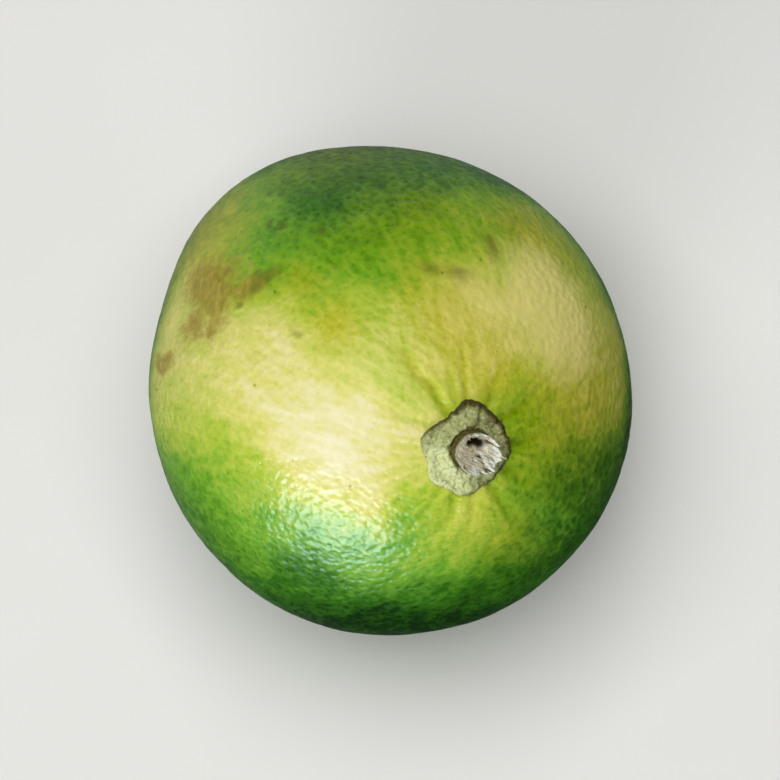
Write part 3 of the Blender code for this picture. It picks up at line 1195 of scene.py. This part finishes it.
@dataclass
class StemStub:
    """The torn stub of the stem: a bark wall, a splintered top with a hollow, and loose fibres.

    Attributes:
        dish: How much the middle of the torn top lies below its lip.
        waist: How much slimmer the wall is halfway down.
        hollow_headings: Where the spots that make up the hollow are, in degrees.
        shear: How far the whole top is pushed that way.
        tongue: How much further its front edge is pushed.
    """

    form: FruitForm
    lie: Lie
    radius: float = 2.3 * MM
    height: float = 2.6 * MM
    sinking: float = 0.2 * MM
    dish: float = 0.4 * MM
    waist: float = 0.16 * MM
    hollow_depth: float = 1.3 * MM
    hollow_headings: tuple[float, ...] = (96, 122, 150)
    hollow_reach: float = 1.05 * MM
    hollow_spread: float = 0.58 * MM
    shear_heading: float = 14 * DEG
    shear: float = 0.35 * MM
    tongue: float = 0.4 * MM
    raggedness: float = 0.42 * MM
    fluting: float = 0.16 * MM
    splinter_width: float = 0.24 * MM
    splinter_length: float = 1.1 * MM
    splinter_height: float = 0.3 * MM
    segments: int = 180
    top_rings: int = 36
    wall_rings: int = 24
    fibres: int = 60
    seed: int = 5

    def foot(self) -> float:
        """The height of the stub's foot, a little inside the peel."""
        return self.form.skin_height(0, 0) - self.sinking

    def top(self) -> float:
        """The height of the stub's lip."""
        return self.foot() + self.height

    def profile(self) -> list[tuple[float, float]]:
        """The stub's half section, from the middle of the torn top to the foot.

        Returns:
            The distance from the axis and the height of each point.
        """
        top = self.top()
        across = [index / self.top_rings for index in range(self.top_rings)]
        down = [index / self.wall_rings for index in range(self.wall_rings + 1)]
        torn_top = [(self.radius * share, top - self.dish * (1 - share**4)) for share in across]
        wall = [
            (self.radius - self.waist * math.sin(math.pi * share), top - self.height * share)
            for share in down
        ]
        return torn_top + wall

    def shorn(self, point: Vector) -> Vector:
        """Leans the upper part of the stub over to the side that it was torn off on.

        Args:
            point: A point of the stub in the fruit's own frame.

        Returns:
            The point, pushed sideways.
        """
        share = max(0.0, (point.z - self.foot()) / self.height)
        way = towards(self.shear_heading)
        ahead = max(0.0, point.dot(way) / self.radius)
        return point + way * ((self.shear + self.tongue * ahead**3) * share**3)

    def ahead(self, azimuth: float) -> float:
        """How far round to the side that it was torn off on an azimuth is, from 0 to 1."""
        return 0.5 + 0.5 * math.cos(azimuth - self.shear_heading)

    def hollow(self, place: Vector) -> float:
        """How deep in the hollow a point of the torn top is, from 0 to 1, which also sets the
        painted shade there.
        """
        spots = (towards(h * DEG).xy * self.hollow_reach for h in self.hollow_headings)
        return max(bell((place.xy - spot).length, self.hollow_spread) for spot in spots)

    def splinters(self, place: Vector) -> float:
        """The ridges of the torn wood, which run along the way that it was sheared.

        Args:
            place: A point of the torn top.

        Returns:
            The height of the ridges there, from about -1 to 1.
        """
        turned = Matrix.Rotation(-self.shear_heading, 3, "Z") @ place
        wander = 0.8 * noise.noise(place / (1.3 * MM))
        across = turned.y / self.splinter_width + wander
        return noise.noise(Vector((turned.x / self.splinter_length, across, 4.0)))

    def mesh(self) -> bpy.types.Mesh:
        """Spins the section round the stem's axis, tears its top and adds the fibres.

        Returns:
            The mesh, in the world, with where the torn top and the fibres are, and where shade is
            painted in the hollow and between the splinters.
        """
        bm = bmesh.new()
        torn = bm.verts.layers.float.new("torn")
        fibre = bm.verts.layers.float.new("fibre")
        hollow = bm.verts.layers.float.new("hollow")
        section = [bm.verts.new((reach, 0, height)) for reach, height in self.profile()]
        edges = [bm.edges.new(pair) for pair in zip(section, section[1:])]
        spin_round(bm, section + edges, self.segments)
        top = self.top()
        for vertex in bm.verts:
            place = vertex.co.copy()
            reach = place.xy.length
            azimuth = math.atan2(place.y, place.x)
            ring = towards(azimuth)
            near_top = step(place.z, top - 1.1 * MM, top - 0.3 * MM)
            on_lip = step(reach, 0.72 * self.radius, 0.98 * self.radius)
            chips = noise.noise(ring * 1.9 + Vector((3.0, 1.0, 0.0)))
            chips += 0.7 * noise.noise(ring * 7.5 + UP * (reach / MM))
            ridge = self.splinters(place)
            sunk = self.hollow(place) * near_top * (1 - on_lip)
            ahead = self.ahead(azimuth)
            grooves = noise.noise(ring * 9.0 + UP * (place.z / (4 * MM)))
            place += ring * (grooves * self.fluting * step(reach, 0.8 * self.radius, self.radius))
            place.z += near_top * on_lip * chips * self.raggedness
            place.z += near_top * ridge * self.splinter_height * (0.4 + 0.6 * ahead)
            place.z -= sunk * self.hollow_depth
            vertex[torn] = near_top * (1 - on_lip * 0.3)
            vertex[fibre] = near_top * (0.6 * ahead + 0.9 * ridge + 0.4 * on_lip - 0.1)
            # Painted shade in the hollow and in the grooves between the splinters.
            vertex[hollow] = max(sunk, near_top * step(-ridge, 0.12, 0.5) * (0.35 + 0.5 * ahead))
            vertex.co = self.lie.world(self.shorn(place))
        self._add_fibres(bm, torn, fibre)
        return finished_mesh(bm, "fine_stub")

    def _add_fibres(
        self, bm: bmesh.types.BMesh, torn: bmesh.types.BMLayerItem, fibre: bmesh.types.BMLayerItem
    ) -> None:
        """Lays torn fibres over the top, longest where the stem was sheared over.

        Args:
            bm: The stub's mesh.
            torn: The layer that marks the torn top.
            fibre: The layer that marks pale fibres.
        """
        chance = random.Random(self.seed)
        top = self.top()
        for _ in range(self.fibres):
            azimuth = chance.uniform(0, math.tau)
            reach = self.radius * math.sqrt(chance.uniform(0.02, 0.9))
            ring = towards(azimuth)
            if self.hollow(ring * reach) > 0.3:
                continue
            ahead = self.ahead(azimuth)
            length = (0.4 + 0.7 * ahead * chance.random()) * MM
            made = bmesh.ops.create_cone(
                bm,
                segments=6,
                radius1=chance.uniform(0.09, 0.17) * MM,
                radius2=chance.uniform(0.03, 0.07) * MM,
                depth=length,
                cap_ends=True,
            )
            lean = (35 + 48 * chance.random()) * DEG
            heading = self.shear_heading + chance.gauss(0, 22 * DEG)
            turn = Matrix.Rotation(heading, 3, "Z") @ Matrix.Rotation(lean, 3, "Y")
            root = ring * reach + UP * (top - self.dish)
            paleness = chance.uniform(0.1, 1.0) * (0.4 + 0.6 * ahead)
            for vertex in made["verts"]:
                vertex.co.z += length / 2
                vertex.co.x *= 0.6
                vertex[torn] = 1.0
                vertex[fibre] = paleness
                vertex.co = self.lie.world(self.shorn(turn @ vertex.co + root))

    def build(self) -> bpy.types.Object:
        """The finished stub, in place of the solid one."""
        return add_piece("fine_stub", self.mesh(), StubFinish().material(), "stem_stub")


@dataclass
class Studio:
    """The pale floor, the soft lights and the camera.

    Attributes:
        sight: The way from the lime to the camera.
        distance: How far off the camera is.
        filling: The share of the picture's width that the lime fills.
        window_azimuth: Where the window is, from -Y towards -X.
        sheen_elevation: How high the light stands that shows only in reflections.
    """

    sight: Vector = field(default_factory=lambda: Vector((0.049, -0.133, 0.990)).normalized())
    distance: float = 0.55
    filling: float = 0.62
    floor_size: float = 6.0
    window_azimuth: float = 21 * DEG
    window_distance: float = 0.9
    window_elevation: float = 16 * DEG
    window_size: tuple[float, float] = (0.5, 0.36)
    window_power: float = 4.3
    sheen_elevation: float = 11 * DEG
    sheen_size: tuple[float, float] = (0.6, 0.38)
    sheen_power: float = 3.3
    sheen: Colour = (0.6, 0.78, 1.0)
    overhead_way: Vector = field(default_factory=lambda: Vector((-0.06, 0.08, 1.08)))
    overhead_size: tuple[float, float] = (0.85, 0.85)
    overhead_power: float = 11.6
    sky: Colour = (0.93, 0.96, 1.0)
    bright_way: Vector = field(default_factory=lambda: Vector((-0.36, 0.66, -0.66)))
    bright_start: float = 0.35
    bright_end: float = 0.9
    bright_sky: float = 0.2
    dim_sky: float = 0.006

    def floor(self) -> None:
        """Lays the pale floor, which doesn't show in reflections."""
        bm = bmesh.new()
        bmesh.ops.create_grid(bm, x_segments=1, y_segments=1, size=self.floor_size / 2)
        mesh = bpy.data.meshes.new("pale_floor")
        bm.to_mesh(mesh)
        bm.free()
        mesh.materials.append(TableFinish().material())
        floor = bpy.data.objects.new("pale_floor", mesh)
        floor.visible_glossy = False
        bpy.context.scene.collection.objects.link(floor)
        floor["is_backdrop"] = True

    def lamp(
        self, name: str, place: Vector, aim: Vector, size: tuple[float, float], power: float
    ) -> bpy.types.Object:
        """Hangs a soft rectangular light.

        Args:
            name: The light's name.
            place: Where it is.
            aim: What it points at.
            size: Its width and height.
            power: Its power in watts.

        Returns:
            The light.
        """
        light = bpy.data.lights.new(name, "AREA")
        light.shape = "RECTANGLE"
        light.size, light.size_y = size
        light.energy = power
        lamp = bpy.data.objects.new(name, light)
        lamp.location = place
        lamp.rotation_euler = (aim - place).to_track_quat("-Z", "Y").to_euler()
        bpy.context.scene.collection.objects.link(lamp)
        return lamp

    def window_place(self, aim: Vector, elevation: float) -> Vector:
        """Where a light of the window stands.

        Args:
            aim: The middle of the lime.
            elevation: How high it stands, as an angle.

        Returns:
            Its place.
        """
        level = math.cos(elevation)
        side = -math.sin(self.window_azimuth) * level
        front = -math.cos(self.window_azimuth) * level
        return aim + Vector((side, front, math.sin(elevation))) * self.window_distance

    def lights(self, aim: Vector) -> None:
        """Sets up the window, its sheen, the soft light overhead and the surroundings.

        Args:
            aim: The middle of the lime.
        """
        place = self.window_place(aim, self.window_elevation)
        window = self.lamp("window", place, aim, self.window_size, self.window_power)
        window.visible_glossy = False
        place = self.window_place(aim, self.sheen_elevation)
        sheen = self.lamp("window_sheen", place, aim, self.sheen_size, self.sheen_power)
        sheen.data.color = self.sheen
        sheen.visible_diffuse = False
        place = aim + self.overhead_way
        overhead = self.lamp("overhead", place, aim, self.overhead_size, self.overhead_power)
        overhead.visible_glossy = False
        world = bpy.data.worlds.new("surroundings")
        board = NodeBoard(world)
        bright = board.ahead(self.bright_way).step(self.bright_start, self.bright_end)
        board.dress(color=(*self.sky, 1.0), strength=self.dim_sky + bright * self.bright_sky)
        bpy.context.scene.world = world

    def camera(self, aim: Vector, width: float) -> None:
        """Sets the camera at the photograph's viewing angle, with the picture's top at +Y.

        Args:
            aim: The middle of the lime.
            width: The lime's width.
        """
        data = bpy.data.cameras.new("camera")
        data.lens = data.sensor_width * self.distance * self.filling / width
        right = Vector((0, 1, 0)).cross(self.sight).normalized()
        up = self.sight.cross(right)
        camera = bpy.data.objects.new("camera", data)
        turn = Matrix((right, up, self.sight)).transposed().to_4x4()
        camera.matrix_world = Matrix.Translation(aim + self.sight * self.distance) @ turn
        bpy.context.scene.collection.objects.link(camera)
        bpy.context.scene.camera = camera

    def build(self) -> None:
        """Sets up the whole studio round the lime."""
        low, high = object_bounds()
        aim = (low + high) / 2
        self.floor()
        self.lights(aim)
        self.camera(aim, high.x - low.x)
        bpy.context.scene.view_settings.view_transform = "Standard"


def main() -> None:
    """Builds every piece and the studio."""
    logging.basicConfig(level=logging.INFO, format="%(name)s: %(message)s")
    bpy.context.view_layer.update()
    form = FruitForm()
    lie = Lie(form)
    for part in (Peel(form, lie), Calyx(form, lie), StemStub(form, lie)):
        piece = part.build()
        log.info("%s has %d faces", piece.name, len(piece.data.polygons))
    Studio().build()
    log.info("the studio is set up round the lime")


if __name__ == "__main__":
    main()
